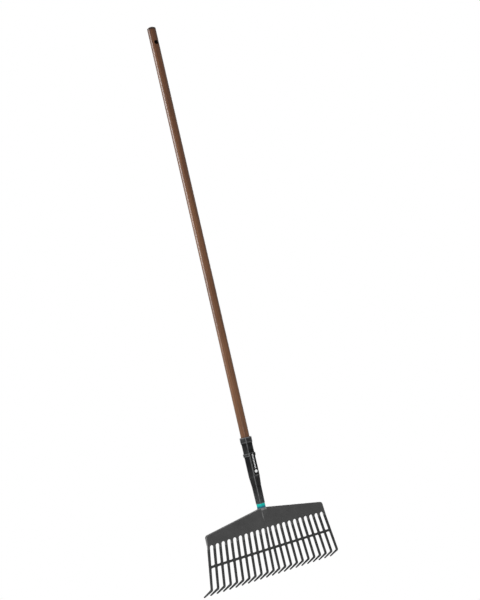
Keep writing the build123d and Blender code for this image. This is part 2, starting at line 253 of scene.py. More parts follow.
def rounded(corners, closed=False, steps=CORNER_STEPS):
    """A line through (point, radius) corners, with each corner rounded."""
    count = len(corners)
    line = []
    for i, (here, radius) in enumerate(corners):
        at_end = not closed and i in (0, count - 1)
        if at_end or not radius:
            line.append(here)
        else:
            line += arc_corner(corners[i - 1][0], here, corners[(i + 1) % count][0], radius, steps)
    return line


def inset(outline, distance):
    """Move a closed outline inwards, to the left of its direction of travel."""
    moved = []
    for i, here in enumerate(outline):
        before = (here - outline[i - 1]).normalized()
        after = (outline[(i + 1) % len(outline)] - here).normalized()
        side = Vector((-before.y - after.y, before.x + after.x))
        moved.append(here + side * (2 * distance / side.length_squared))
    return moved


def hex_ring(half_flats, z, corner):
    """A level hexagon with rounded corners and flats facing -Y and +Y."""
    reach = (half_flats - corner) / cos(radians(30))
    points = []
    for number in range(6):
        middle = radians(60 * number)
        centre = Vector((reach * cos(middle), reach * sin(middle), z))
        for step in range(CORNER_STEPS + 1):
            angle = middle + radians(60 * step / CORNER_STEPS - 30)
            points.append(centre + corner * Vector((cos(angle), sin(angle), 0)))
    return points


def hex_level(half_flats, z):
    """One point of a profile: the hexagon's half width, height and corner radius."""
    return Vector((half_flats, z, CORNER_ROUND))


def bore_level(radius, z):
    """The same for a round bore: the corners take up all but a sliver of the hexagon."""
    return Vector((radius, z, radius * 0.98))


def box_ring(half_width, near, far, radius, steps=BOX_CORNER_STEPS):
    """A rounded rectangle: X to both sides of the middle, and from the near to the far point."""
    depth = (far - near).length
    inwards = (far - near).normalized()
    radius = min(radius, half_width * 0.9, depth * 0.45)
    points = []
    for x_side, y_side, turn in ((1, 0, -90), (1, 1, 0), (-1, 1, 90), (-1, 0, 180)):
        centre_x = x_side * (half_width - radius)
        centre_y = depth - radius if y_side else radius
        for step in range(steps + 1):
            angle = radians(turn + 90 * step / steps)
            across = Vector((centre_x + radius * cos(angle), 0, 0))
            points.append(across + near + inwards * (centre_y + radius * sin(angle)))
    return points


# ---- meshes ----

def add_loft(bm, rings, closed=False):
    """Skin a row of equal rings, and either cap its ends or join them."""
    rows = [[bm.verts.new(point) for point in ring] for ring in rings]
    count = len(rows[0])
    pairs = list(zip(rows, rows[1:]))
    if closed:
        pairs.append((rows[-1], rows[0]))
    else:
        bm.faces.new(rows[0][::-1])
        bm.faces.new(rows[-1])
    for below, above in pairs:
        for i in range(count):
            j = (i + 1) % count
            bm.faces.new((below[i], below[j], above[j], above[i]))


def add_loft_open(bm, lines):
    """Skin between neighbouring lines, the last of which joins the first."""
    rows = [[bm.verts.new(point) for point in line] for line in lines]
    for i, here in enumerate(rows):
        after = rows[(i + 1) % len(rows)]
        for a, b, c, d in zip(here, after, after[1:], here[1:]):
            bm.faces.new((a, b, c, d))


def guarded(levels, closed=False):
    """Add a level close to each end of every long run, so that the painted edge highlight stays near its
    edge.
    """
    line = []
    for here, after in zip(levels, [*levels[1:], levels[0] if closed else levels[-1]]):
        line.append(here)
        run = (after - here).length
        if run > 3 * GLINT_REACH:
            line += [here.lerp(after, GLINT_REACH / run), here.lerp(after, 1 - GLINT_REACH / run)]
    return line


def add_hex_loft(bm, profile, closed=False):
    add_loft(bm, [hex_ring(*level) for level in guarded(rounded(profile, closed), closed)], closed)


def soft_levels(y_back, y_front, radius):
    """(inset, y) levels of a slab with rounded rims, and a flat margin inside each rim."""
    quarter = []
    for step in range(BOX_CORNER_STEPS + 1):
        turn = pi / 2 * step / BOX_CORNER_STEPS
        quarter.append((radius * (1 - sin(turn)), radius * (1 - cos(turn))))
    back = [(depth, y_back - drop) for depth, drop in quarter]
    front = [(depth, y_front + drop) for depth, drop in quarter]
    margin = radius * 1.5
    return [(margin, y_back), *back, *front[::-1], (margin, y_front)]


def add_slab(bm, outline, y_back, y_front, radius):
    """An outline in X and Z made solid between two Y positions, with rounded rims."""
    rings = []
    for depth, y in soft_levels(y_back, y_front, radius):
        rings.append([Vector((point.x, y, point.y)) for point in inset(outline, depth)])
    add_loft(bm, rings)


def piece(name, bm, material, node=None, sharp=38):
    """Finish a mesh as a piece of the rake, which may stand for a CAD node.

    Edges that turn by more than sharp, in degrees, are shaded sharp.
    """
    bmesh.ops.remove_doubles(bm, verts=bm.verts, dist=WELD)
    bmesh.ops.recalc_face_normals(bm, faces=bm.faces)
    mesh = bpy.data.meshes.new(name)
    bm.to_mesh(mesh)
    bm.free()
    mesh.shade_smooth()
    mesh.set_sharp_from_angle(angle=radians(sharp))
    made = bpy.data.objects.new(name, mesh)
    bpy.context.scene.collection.objects.link(made)
    mesh.materials.append(material)
    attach(made, "root")
    if node:
        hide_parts(node)


def head_place():
    """The head's own frame: origin on the front face at the shoulder level, -Z down the head."""
    return Matrix.Translation((0, HEAD_FRONT_Y, SHOULDER_Z)) @ Matrix.Rotation(HEAD_TILT, 4, "X")


# ---- materials ----

def linear(step):
    """One colour channel given in 0 to 255 steps, as Blender's linear value."""
    value = step / 255
    return ((value + 0.055) / 1.055) ** 2.4 if value > 0.04045 else value / 12.92


def srgb(red, green, blue):
    return (linear(red), linear(green), linear(blue), 1.0)


def add_node(tree, kind, settings=None, **inputs):
    """Add a node. An input is a value or another node's output."""
    made = tree.nodes.new(kind)
    for key, value in (settings or {}).items():
        setattr(made, key, value)
    for key, value in inputs.items():
        socket = made.inputs[key.replace("_", " ")]
        if isinstance(value, bpy.types.NodeSocket):
            tree.links.new(value, socket)
        else:
            socket.default_value = value
    return made


def start_material(name, **values):
    """A new material with uniform values set on its shader."""
    material = bpy.data.materials.new(name)
    material.use_nodes = True
    tree = material.node_tree
    shader = tree.nodes["Principled BSDF"]
    for key, value in values.items():
        shader.inputs[key.replace("_", " ")].default_value = value
    return material, tree, shader


def stretched(tree, scale):
    """Object coordinates scaled along each axis."""
    place = add_node(tree, "ShaderNodeTexCoord").outputs["Object"]
    return add_node(tree, "ShaderNodeMapping", Vector=place, Scale=scale).outputs["Vector"]


def noise(tree, scale, detail=3.0, stretch=(1, 1, 1), roughness=0.5, distortion=0.0):
    """Fractal noise; the smaller the stretch along an axis, the longer its streaks."""
    made = add_node(
        tree,
        "ShaderNodeTexNoise",
        Vector=stretched(tree, stretch),
        Scale=scale,
        Detail=detail,
        Roughness=roughness,
        Distortion=distortion,
    )
    return made.outputs["Fac"]


def ramp(tree, factor, *stops):
    """Colours or grey levels at places from 0 to 1."""
    made = add_node(tree, "ShaderNodeValToRGB", Fac=factor)
    elements = made.color_ramp.elements
    while len(elements) < len(stops):
        elements.new(0.5)
    for element, (place, colour) in zip(elements, stops):
        element.position = place
        element.color = colour if isinstance(colour, tuple) else (colour, colour, colour, 1)
    return made.outputs["Color"]


def mixed(tree, kind, factor, first, second):
    """The first colour with the second laid over it."""
    made = add_node(tree, "ShaderNodeMixRGB", {"blend_type": kind}, Fac=factor, Color1=first, Color2=second)
    return made.outputs["Color"]


def bump(tree, height, distance, strength=1.0, below=None):
    """A normal from a height, on top of the relief below it."""
    made = add_node(tree, "ShaderNodeBump", Height=height, Distance=distance, Strength=strength)
    if below is not None:
        tree.links.new(below, made.inputs["Normal"])
    return made.outputs["Normal"]


def below_level(tree, level, blend):
    """1 under a height and 0 over it, blended this far to each side, or the reverse if it is negative."""
    place = add_node(tree, "ShaderNodeTexCoord").outputs["Object"]
    height = add_node(tree, "ShaderNodeSeparateXYZ", Vector=place).outputs["Z"]
    made = add_node(tree, "ShaderNodeMapRange", Value=height, From_Min=level + blend, From_Max=level - blend)
    return made.outputs["Result"]


def painted_edge_glint(tree, low, high):
    """Mask for a painted highlight: 1 along convex edges, broken up, and 0 elsewhere. Low and high are
    limits of pointiness.
    """
    edge = add_node(tree, "ShaderNodeNewGeometry").outputs["Pointiness"]
    lit = ramp(tree, edge, (low, 0.0), (high, 1.0))
    broken = ramp(tree, noise(tree, 160, detail=4), (0.35, 0.4), (0.65, 1.0))
    return mixed(tree, "MULTIPLY", 1.0, lit, broken)


def plastic(name, dark, light, glint_colour, edges, gloss, grain, specular, foot=None):
    """Moulded plastic: cloudy colour, fine grain, painted highlights along convex edges and a few fine
    scuffs.

    A foot is (height, blend, colour) for a part whose lower end is given another colour: painted light where
    that colour is lighter, painted shade where it is darker.
    """
    material, tree, shader = start_material(name, Specular_IOR_Level=specular)
    cloud = noise(tree, 26, detail=5, roughness=0.6)
    colour = ramp(tree, cloud, (0.3, dark), (0.7, light))
    speck = ramp(tree, noise(tree, 1500, detail=2), (0.3, 0.86), (0.7, 1.0))
    colour = mixed(tree, "MULTIPLY", 1.0, colour, speck)
    # painted highlight: a light colour laid along convex edges and ridges, where they catch light
    colour = mixed(tree, "MIX", painted_edge_glint(tree, *edges), colour, glint_colour)
    if foot:
        # painted light and shade at the part's lower end, as the caller sets it
        level, blend, painted_foot_tone = foot
        colour = mixed(tree, "MIX", below_level(tree, level, blend), colour, painted_foot_tone)
    tree.links.new(colour, shader.inputs["Base Color"])
    scuff = noise(tree, 90, detail=6, roughness=0.7, distortion=1.2)
    roughness = ramp(tree, scuff, (0.3, gloss - 0.06), (0.75, gloss + 0.1))
    tree.links.new(roughness, shader.inputs["Roughness"])
    fine = bump(tree, noise(tree, 2600, detail=2), grain)
    broad = bump(tree, noise(tree, 60, detail=2), 0.00012, strength=0.35, below=fine)
    tree.links.new(broad, shader.inputs["Normal"])
    return material


def wood_figure(tree):
    """Growth bands that run the length of the pole."""
    bands = add_node(
        tree,
        "ShaderNodeTexWave",
        {"wave_type": "BANDS", "bands_direction": "X", "wave_profile": "SIN"},
        Vector=stretched(tree, (1, 0.35, 0.02)),
        Scale=58,
        Distortion=7,
        Detail=3,
        Detail_Scale=1.6,
    ).outputs["Fac"]
    return ramp(
        tree,
        bands,
        (0.0, srgb(94, 58, 32)),
        (0.35, srgb(114, 76, 44)),
        (0.7, srgb(128, 90, 56)),
        (1.0, srgb(102, 64, 36)),
    )


def pole_end_mask(tree):
    """1 over the domed end, with a lighter line a little way in from its rim."""
    crown = below_level(tree, pole_high.z - END_GRAIN_HALF, -END_GRAIN_HALF)
    return ramp(tree, crown, (0.0, 0.0), (0.16, 1.0), (0.4, 1.0), (0.5, 0.35), (0.6, 1.0))


def hang_hole_shade_mask(tree):
    """Mask for painted shade: 1 inside the hang hole and on the inner part of its softened rims."""
    from_axis = add_node(tree, "ShaderNodeVectorMath", {"operation": "LENGTH"})
    tree.links.new(stretched(tree, (1, 0, 1)), from_axis.inputs[0])
    made = add_node(
        tree,
        "ShaderNodeMapRange",
        Value=from_axis.outputs["Value"],
        From_Min=HANG_HOLE_RADIUS + 0.8 * HANG_HOLE_EASE,
        From_Max=HANG_HOLE_RADIUS + 0.3 * HANG_HOLE_EASE,
    )
    return made.outputs["Result"]


def stained_wood():
    """Brown-stained, lacquered ash: long fibres, growth bands, open pores and darker end grain."""
    material, tree, shader = start_material(
        "stained_wood", Coat_Weight=0.9, Coat_Roughness=0.3, Coat_IOR=1.5, Specular_IOR_Level=0.25
    )
    figure = wood_figure(tree)
    fibre = noise(tree, 620, detail=5, stretch=(1, 1, 0.014), roughness=0.62)
    fibre_tone = ramp(tree, fibre, (0.28, srgb(150, 138, 126)), (0.66, 1.0))
    colour = mixed(tree, "MULTIPLY", 0.85, figure, fibre_tone)
    pores = noise(tree, 1900, detail=2, stretch=(1, 1, 0.03))
    pore_mask = ramp(tree, pores, (0.30, 0.6), (0.38, 0.0))
    colour = mixed(tree, "MIX", pore_mask, colour, srgb(48, 30, 20))
    drift = noise(tree, 5, detail=2, stretch=(1, 1, 0.6))
    colour = mixed(tree, "MULTIPLY", 1.0, colour, ramp(tree, drift, (0.3, srgb(232, 222, 214)), (0.7, 1.0)))
    # painted shade: the upper pole is darkened where less light falls on it
    upper_pole_shade = below_level(tree, pole_high.z - UPPER_POLE_SHADE, -UPPER_POLE_SHADE)
    colour = mixed(tree, "MULTIPLY", upper_pole_shade, colour, srgb(205, 188, 168))
    rings = noise(tree, 900, stretch=(1, 0.3, 1))
    end_grain = ramp(tree, rings, (0.3, srgb(24, 16, 10)), (0.7, srgb(40, 27, 18)))
    colour = mixed(tree, "MIX", pole_end_mask(tree), colour, end_grain)
    # painted shade: the wood is darkened to near black inside the hang hole
    colour = mixed(tree, "MIX", hang_hole_shade_mask(tree), colour, srgb(22, 14, 10))
    tree.links.new(colour, shader.inputs["Base Color"])
    tree.links.new(ramp(tree, fibre, (0.3, 0.52), (0.7, 0.38)), shader.inputs["Roughness"])
    relief = bump(tree, fibre, 0.00004, strength=0.5)
    relief = bump(tree, pore_mask, -0.00006, strength=0.7, below=relief)
    tree.links.new(relief, shader.inputs["Normal"])
    tree.links.new(bump(tree, fibre, 0.00001, strength=0.4), shader.inputs["Coat Normal"])
    return material


def hole_shade_wood():
    """Unlacquered, dry wood inside the drilled hole, coloured near black as painted shade."""
    material, tree, shader = start_material("hole_shade_wood", Specular_IOR_Level=0.08)
    fibre = noise(tree, 700, detail=4, stretch=(1, 1, 0.05), roughness=0.6)
    colour = ramp(tree, fibre, (0.3, srgb(11, 7, 4)), (0.7, srgb(20, 13, 8)))
    tree.links.new(colour, shader.inputs["Base Color"])
    tree.links.new(ramp(tree, fibre, (0.3, 0.95), (0.7, 0.8)), shader.inputs["Roughness"])
    tree.links.new(bump(tree, fibre, 0.00004, strength=0.5), shader.inputs["Normal"])
    return material


def zinc_steel():
    """Zinc plate with a faint cloudiness."""
    material, tree, shader = start_material("zinc_steel", Metallic=1.0)
    cloud = noise(tree, 700, detail=4)
    colour = ramp(tree, cloud, (0.3, srgb(176, 178, 182)), (0.7, srgb(214, 216, 218)))
    tree.links.new(colour, shader.inputs["Base Color"])
    tree.links.new(ramp(tree, noise(tree, 2400), (0.3, 0.28), (0.7, 0.46)), shader.inputs["Roughness"])
    tree.links.new(bump(tree, noise(tree, 3000, detail=2), 0.00002), shader.inputs["Normal"])
    return material


def pad_print():
    """Opaque light ink with a slightly uneven film."""
    material, tree, shader = start_material("pad_print", Specular_IOR_Level=0.4)
    film = noise(tree, 900, detail=4)
    colour = ramp(tree, film, (0.3, srgb(206, 207, 208)), (0.7, srgb(226, 227, 228)))
    tree.links.new(colour, shader.inputs["Base Color"])
    tree.links.new(ramp(tree, noise(tree, 1600), (0.3, 0.42), (0.7, 0.6)), shader.inputs["Roughness"])
    tree.links.new(bump(tree, film, 0.00002), shader.inputs["Normal"])
    return material


# ---- pole ----

def pole_point(turn, z):
    """A point on the pole's skin. Turn 0 faces -Y."""
    return Vector((POLE_RADIUS * sin(turn), -POLE_RADIUS * cos(turn), z))


def pole_turns():
    """The angles of the pole's columns, with the hang hole's front patch in the first quarter."""
    return [2 * pi * (column - PATCH_COLUMNS / 2) / POLE_COLUMNS for column in range(POLE_COLUMNS)]


def pole_ring(radius, z):
    return [Vector((radius * sin(turn), -radius * cos(turn), z)) for turn in pole_turns()]


def dome_profile():
    """(radius, z) points from the top of the straight pole over its softened rim to the crown."""
    start = pole_high.z - DOME_RISE
    dome_radius = (POLE_RADIUS**2 + DOME_RISE**2) / (2 * DOME_RISE)
    centre = pole_high.z - dome_radius
    widest = asin(POLE_RADIUS / dome_radius)
    rim = Vector((POLE_RADIUS, start))
    ahead = rim + Vector((-cos(widest), sin(widest)))
    line = arc_corner(rim - Vector((0, 1)), rim, ahead, POLE_EDGE)
    last = asin(line[-1].x / dome_radius)
    for step in range(1, DOME_STEPS):
        angle = last * (1 - step / DOME_STEPS)
        line.append(Vector((dome_radius * sin(angle), centre + dome_radius * cos(angle))))
    return line


def patch_border():
    """(turn, z) points around the patch of skin that holds one mouth of the hang hole."""
    quarter = pi / 4
    steps = [2 * i / PATCH_COLUMNS - 1 for i in range(PATCH_COLUMNS)]
    border = [(quarter * s, -PATCH_HALF) for s in steps]
    border += [(quarter, PATCH_HALF * s) for s in steps]
    border += [(-quarter * s, PATCH_HALF) for s in steps]
    border += [(-quarter, -PATCH_HALF * s) for s in steps]
    return border


def hole_lines():
    """Rows of points from the patch's border in over the eased rim, for the mouth that faces -Y."""
    rim_radius = HANG_HOLE_RADIUS + HANG_HOLE_EASE
    lines = []
    for turn, z in patch_border():
        angle = atan2(z, POLE_RADIUS * sin(turn))
        rim_turn = asin(rim_radius * cos(angle) / POLE_RADIUS)
        rim_z = rim_radius * sin(angle)
        line = []
        for step in range(PATCH_STEPS + 1):
            t = step / PATCH_STEPS
            line.append(pole_point(turn + (rim_turn - turn) * t, z + (rim_z - z) * t))
        start = line[-1]
        lip_x, lip_z = HANG_HOLE_RADIUS * cos(angle), HANG_HOLE_RADIUS * sin(angle)
        lip = Vector((lip_x, -sqrt(POLE_RADIUS**2 - lip_x**2), lip_z))
        throat = lip + Vector((0, HANG_HOLE_EASE, 0))
        for step in range(1, EASE_STEPS + 1):
            t = step / EASE_STEPS
            line.append(start * (1 - t) ** 2 + lip * 2 * t * (1 - t) + throat * t**2)
        lines.append(line)
    return lines


def add_turned(bm, profile, capped_row):
    """Turn a (radius, z) profile into skin, closed by a cap on its first (0) or last (-1) row."""
    rows = [[bm.verts.new(point) for point in pole_ring(p.x, p.y)] for p in profile]
    for below, above in zip(rows, rows[1:]):
        for i in range(POLE_COLUMNS):
            j = (i + 1) % POLE_COLUMNS
            bm.faces.new((below[i], below[j], above[j], above[i]))
    bm.faces.new(rows[capped_row])


def add_plain_side(bm, first):
    """The quarter of the pole's skin beside the hang hole that starts at this column."""
    turns = pole_turns()
    rise = 2 * PATCH_HALF / PATCH_COLUMNS
    for column in range(first, first + PATCH_COLUMNS):
        left = turns[column]
        right = left + 2 * pi / POLE_COLUMNS
        for row in range(PATCH_COLUMNS):
            low = rise * row - PATCH_HALF
            corners = ((left, low), (right, low), (right, low + rise), (left, low + rise))
            bm.faces.new([bm.verts.new(pole_point(turn, z)) for turn, z in corners])


def pole():
    """The straight shaft, the band of skin that holds the hang hole, and the domed end."""
    bm = bmesh.new()
    foot = pole_low.z
    shaft = -PATCH_HALF - foot
    lower = arc_corner(Vector((0, foot)), Vector((POLE_RADIUS, foot)), Vector((POLE_RADIUS, 0)), POLE_EDGE)
    lower += [Vector((POLE_RADIUS, foot + shaft * step / SHAFT_RINGS)) for step in range(1, SHAFT_RINGS + 1)]
    upper = [Vector((POLE_RADIUS, PATCH_HALF)), Vector((POLE_RADIUS, 2 * PATCH_HALF)), *dome_profile()]
    add_turned(bm, lower, 0)
    add_turned(bm, upper, -1)
    add_plain_side(bm, PATCH_COLUMNS)
    add_plain_side(bm, 3 * PATCH_COLUMNS)
    far_side = Matrix.Scale(-1, 3, (0, 1, 0))
    add_loft_open(bm, [line + [far_side @ point for point in reversed(line)] for line in hole_lines()])
    return bm


def hang_hole():
    """A near-black lining of painted shade inside the hang hole, as a thin lining from mouth to mouth."""
    bm = bmesh.new()
    inner = HANG_HOLE_RADIUS - HANG_HOLE_CLEAR
    outer = inner + HANG_HOLE_SKIN
    rings = []
    for column in range(POLE_COLUMNS):
        angle = 2 * pi * column / POLE_COLUMNS
        ring = []
        for radius, side in ((inner, -1), (inner, 1), (outer, 1), (outer, -1)):
            x = radius * cos(angle)
            reach = sqrt(POLE_RADIUS**2 - x**2) - HANG_HOLE_EASE - (radius - HANG_HOLE_RADIUS)
            ring.append(Vector((x, side * reach, radius * sin(angle))))
        rings.append(ring)
    add_loft(bm, rings, closed=True)
    return bm


# ---- socket ----

def sleeve():
    """The collar, neck and spigot that slide over the pole."""
    bm = bmesh.new()
    top = sleeve_high.z
    profile = [
        (bore_level(BORE_RADIUS, SPIGOT_BOTTOM), 0),
        (bore_level(SPIGOT_RADIUS, SPIGOT_BOTTOM), SPIGOT_ROUND),
        (bore_level(SPIGOT_RADIUS, LIP_TOP + SLEEVE_LIFT), 0),
        (hex_level(NECK_HALF, LIP_TOP + SLEEVE_LIFT), SLEEVE_ROUND),
        (hex_level(NECK_HALF, COLLAR_BOTTOM - COLLAR_FLARE_BELOW), COLLAR_BLEND),
        (hex_level(COLLAR_HALF, COLLAR_BOTTOM + COLLAR_FLARE_ABOVE), COLLAR_BLEND),
        (hex_level(COLLAR_HALF, top), COLLAR_RIM),
        (bore_level(BORE_RADIUS, top), COLLAR_MOUTH),
    ]
    add_hex_loft(bm, profile, closed=True)
    return bm


def badge_ramp():
    """The slope on the sleeve's front that leads up to the badge."""
    bm = bmesh.new()
    half = badge_high.x
    back = RAMP_ROOT - NECK_HALF
    foot, crest = Vector((badge_low.y, LIP_TOP + SLEEVE_LIFT)), Vector((-NECK_HALF, RAMP_TOP))
    rings = []
    for front, height in guarded([foot, crest, crest + RAMP_SINK]):
        near, far = Vector((0, front, height)), Vector((0, back, height))
        rings.append(box_ring(half, near, far, RAMP_ROUND, RAMP_CORNER_STEPS))
    add_loft(bm, rings)
    return bm


def body():
    """The barrel, taper and tube, with a blind bore at each end."""
    bm = bmesh.new()
    foot = body_low.z
    pole_foot = pole_low.z
    profile = [
        (bore_level(TANG_RADIUS, TANG_TOP), 0),
        (bore_level(TANG_RADIUS, foot), TANG_MOUTH),
        (hex_level(TUBE_BOTTOM_HALF, foot), TUBE_FOOT_ROUND),
        (hex_level(TUBE_TOP_HALF, TAPER_BOTTOM), TAPER_BLEND),
        (hex_level(BODY_HALF, TAPER_TOP), TAPER_BLEND),
        (hex_level(BODY_HALF, LIP_BOTTOM - LIP_SLOPE_BELOW), LIP_ROUND),
        (hex_level(LIP_HALF, LIP_BOTTOM + LIP_SLOPE_ABOVE), LIP_ROUND),
        (hex_level(LIP_HALF, LIP_TOP), LIP_ROUND),
        (bore_level(SPIGOT_RADIUS, LIP_TOP), LIP_MOUTH),
        (bore_level(SPIGOT_RADIUS, SPIGOT_BOTTOM), 0),
        (bore_level(BORE_RADIUS, SPIGOT_BOTTOM), 0),
        (bore_level(BORE_RADIUS, pole_foot), 0),
    ]
    add_hex_loft(bm, profile)
    return bm


def badge():
    """The raised strip on the socket's front, with a rounded lower end."""
    bm = bmesh.new()
    half = badge_high.x
    low, high = badge_low.z, badge_high.z
    outline = rounded(
        [
            (Vector((half, high)), BADGE_TOP_ROUND),
            (Vector((-half, high)), BADGE_TOP_ROUND),
            (Vector((-half, low)), BADGE_END_ROUND),
            (Vector((half, low)), BADGE_END_ROUND),
        ],
        closed=True,
        steps=BADGE_END_STEPS,
    )
    add_slab(bm, outline, badge_high.y, badge_low.y, BADGE_RIM)
    return bm


def mark():
    """A plain hatch of leaning bars above a dot."""
    bm = bmesh.new()
    drift = MARK_HALF * tan(MARK_LEAN)
    rise = Vector((0, MARK_BAR))
    for count in range(MARK_COUNT):
        z = MARK_TOP - count * MARK_PITCH
        left, right = Vector((-MARK_HALF, z - drift)), Vector((MARK_HALF, z + drift))
        corners = [(point, MARK_ROUND) for point in (left, right, right + rise, left + rise)]
        bar = rounded(corners, closed=True, steps=MARK_ROUND_STEPS)
        add_slab(bm, bar, mark_high.y, mark_low.y, INK_EDGE)
    dot = []
    for number in range(DOT_POINTS):
        angle = 2 * pi * number / DOT_POINTS
        dot.append(Vector((DOT_RADIUS * cos(angle), DOT_Z + DOT_RADIUS * sin(angle))))
    add_slab(bm, dot, mark_high.y, mark_low.y, INK_EDGE)
    return bm


def colour_ring():
    """The ring between the tube and the head, drawn in a little towards its foot."""
    bm = bmesh.new()
    half = ring_high.y
    low, high = ring_low.z, ring_high.z
    profile = [
        (bore_level(TANG_RADIUS, low), TANG_MOUTH),
        (hex_level(half - RING_DRAW, low), RING_FOOT_ROUND),
        (hex_level(half, low + RING_DRAW_TOP), RING_BLEND),
        (hex_level(half, high), RING_TOP_ROUND),
        (bore_level(TANG_RADIUS, high), TANG_MOUTH),
    ]
    add_hex_loft(bm, profile, closed=True)
    return bm


# ---- where the tines run, in the head's own frame ----

def tine_ends(index):
    """(x, down) of a tine's top and bend, counted 1 to 11 from the middle."""
    top_x = TINE_FIRST_TOP + TINE_PITCH_TOP * (index - 1)
    top_down = SLOT_DOWN + SLOT_CURVE * top_x**2
    return (top_x, top_down), (TINE_FIRST_BEND + TINE_PITCH_BEND * (index - 1), BEND_DOWN)


def tine_slope(index):
    (top_x, top_down), (bend_x, bend_down) = tine_ends(index)
    return (bend_x - top_x) / (bend_down - top_down)


def tine_edge(index, down, side):
    """X of a tine's inner (side -1) or outer (side 1) edge."""
    (top_x, top_down), _ = tine_ends(index)
    slope = tine_slope(index)
    taper = max((down - PLATE_BOTTOM) / (BEND_DOWN - PLATE_BOTTOM), 0)
    width = TINE_WIDTH + (BEND_WIDTH - TINE_WIDTH) * taper
    return top_x + slope * (down - top_down) + side * width / 2 * sqrt(1 + slope**2)


def tine_order():
    """(index from the middle, side) of every tine from -X to +X."""
    order = [(index, -1) for index in range(TINES_PER_SIDE, 0, -1)]
    return order + [(index, 1) for index in range(1, TINES_PER_SIDE + 1)]


def gap_edges(left, right):
    """The two X functions that bound the gap between neighbouring tines."""
    (left_index, left_side), (right_index, right_side) = left, right
    return (
        lambda down: left_side * tine_edge(left_index, down, left_side),
        lambda down: right_side * tine_edge(right_index, down, -right_side),
    )


# ---- head ----

def slot_line(left, right):
    """The round-topped gap's outline, up its left side and down its right side."""
    left_edge, right_edge = gap_edges(left, right)
    guess = SLOT_DOWN + SLOT_CURVE * ((left_edge(SLOT_DOWN) + right_edge(SLOT_DOWN)) / 2) ** 2
    radius = (right_edge(guess) - left_edge(guess)) / 2
    centre_down = guess + radius
    centre = Vector(((left_edge(centre_down) + right_edge(centre_down)) / 2, -centre_down))
    line = [Vector((left_edge(PLATE_BOTTOM), -PLATE_BOTTOM))]
    for step in range(SLOT_STEPS + 1):
        angle = pi * (1 - step / SLOT_STEPS)
        line.append(centre + radius * Vector((cos(angle), sin(angle))))
    line.append(Vector((right_edge(PLATE_BOTTOM), -PLATE_BOTTOM)))
    return line


def shoulder_line(bottom):
    """Half of the plate's upper outline, from the apex out and down to a level on its side."""
    apex = Vector((APEX_HALF, -APEX_DOWN))
    corner = Vector((tine_edge(TINES_PER_SIDE, CORNER_DOWN, 1) + CORNER_FLARE, -CORNER_DOWN))
    foot = Vector((tine_edge(TINES_PER_SIDE, PLATE_BOTTOM, 1), -PLATE_BOTTOM))
    cut = corner.lerp(foot, (bottom - CORNER_DOWN) / (PLATE_BOTTOM - CORNER_DOWN))
    return [apex, *arc_corner(apex, corner, foot, CORNER_RADIUS, SHOULDER_STEPS), cut]


def mirrored(line):
    return [Vector((-point.x, point.y)) for point in line]


def plate_outline():
    """Anticlockwise: down the left side, along the slots, and up the right side."""
    right = shoulder_line(PLATE_BOTTOM)
    outline = mirrored(right)
    order = tine_order()
    for left, after in zip(order, order[1:]):
        outline += slot_line(left, after)
    return outline + right[::-1]


def plate():
    """The plate down to where the separate tines start, with the top ends of the slots."""
    bm = bmesh.new()
    add_slab(bm, plate_outline(), PLATE_THICK, 0, TINE_ROUND)
    bm.transform(head_place())
    return bm


def flange():
    """The stiffening rim behind the shoulders, sloping away down the sides."""
    bm = bmesh.new()
    right = shoulder_line(FLANGE_BOTTOM)
    outer = mirrored(right)[::-1] + right
    closed = outer + [Vector((0, -FLANGE_BOTTOM))]
    outer_line = inset(closed[::-1], FLANGE_CLEAR)[::-1][:-1]
    inner_line = inset(closed[::-1], FLANGE_THICK)[::-1][:-1]
    inner_line[0].y = inner_line[-1].y = outer_line[0].y
    outline = (outer_line + inner_line[::-1])[::-1]
    depth = FLANGE_DEPTH - FLANGE_CLEAR
    add_slab(bm, outline, PLATE_THICK + depth, PLATE_THICK / 2, FLANGE_ROUND)
    for corner in bm.verts:
        fade = (-corner.co.z - FLANGE_FADE_TOP) / (FLANGE_BOTTOM - FLANGE_FADE_TOP)
        if fade > 0:
            slope_y = PLATE_THICK + depth * (1 - fade) - FLANGE_CLEAR / 2
            corner.co.y = min(corner.co.y, slope_y)
    bm.transform(head_place())
    return bm


def keel():
    """The hexagonal root of the tang, flattening until it sinks into the plate."""
    end_y = HEAD_FRONT_Y + KEEL_BOTTOM * sin(HEAD_TILT) + PLATE_THICK / 2
    end_z = SHOULDER_Z - KEEL_BOTTOM * cos(HEAD_TILT)
    widest_z = SHOULDER_Z - KEEL_SHOULDER
    levels = []
    for half, z in (
        (KEEL_TOP_HALF - KEEL_TOP_ROUND, ring_low.z),
        (KEEL_TOP_HALF, ring_low.z - KEEL_TOP_ROUND),
        (KEEL_HALF - 0.0007, widest_z + 0.0022),
        (KEEL_HALF - 0.0005, widest_z - 0.0006),
    ):
        levels.append(Vector((half / cos(radians(30)), half, z, 0, KEEL_CORNER)))
    levels.append(Vector((KEEL_END_HALF, KEEL_END_THICK / 2, end_z, end_y, KEEL_END_CORNER)))
    rings = []
    for width, depth, z, y, corner in reversed(guarded(levels)):
        right = [(width / 2, y - depth, z), (width, y, z), (width / 2, y + depth, z)]
        left = [(-x, 2 * y - other_y, z) for x, other_y, z in right]
        corners = [(Vector(point), corner) for point in right + left]
        rings.append(rounded(corners, closed=True, steps=KEEL_CORNER_STEPS))
    bm = bmesh.new()
    add_loft(bm, rings)
    return bm


# ---- tines ----

def shank_stations(plate_end, shank):
    """(near, far, half width, corner radius) from the plate's lower edge to the bend."""
    stations = []
    for step in range(1, TINE_STEPS + 1):
        t = step / TINE_STEPS
        s = plate_end + shank * t
        setback = TINE_SETBACK * (1 - t)
        depth = TINE_DEPTH + (BEND_DEPTH - TINE_DEPTH) * t
        half = (TINE_WIDTH + (BEND_WIDTH - TINE_WIDTH) * t) / 2 - setback
        stations.append((Vector((0, setback, -s)), Vector((0, depth, -s)), half, TINE_ROUND))
    return stations


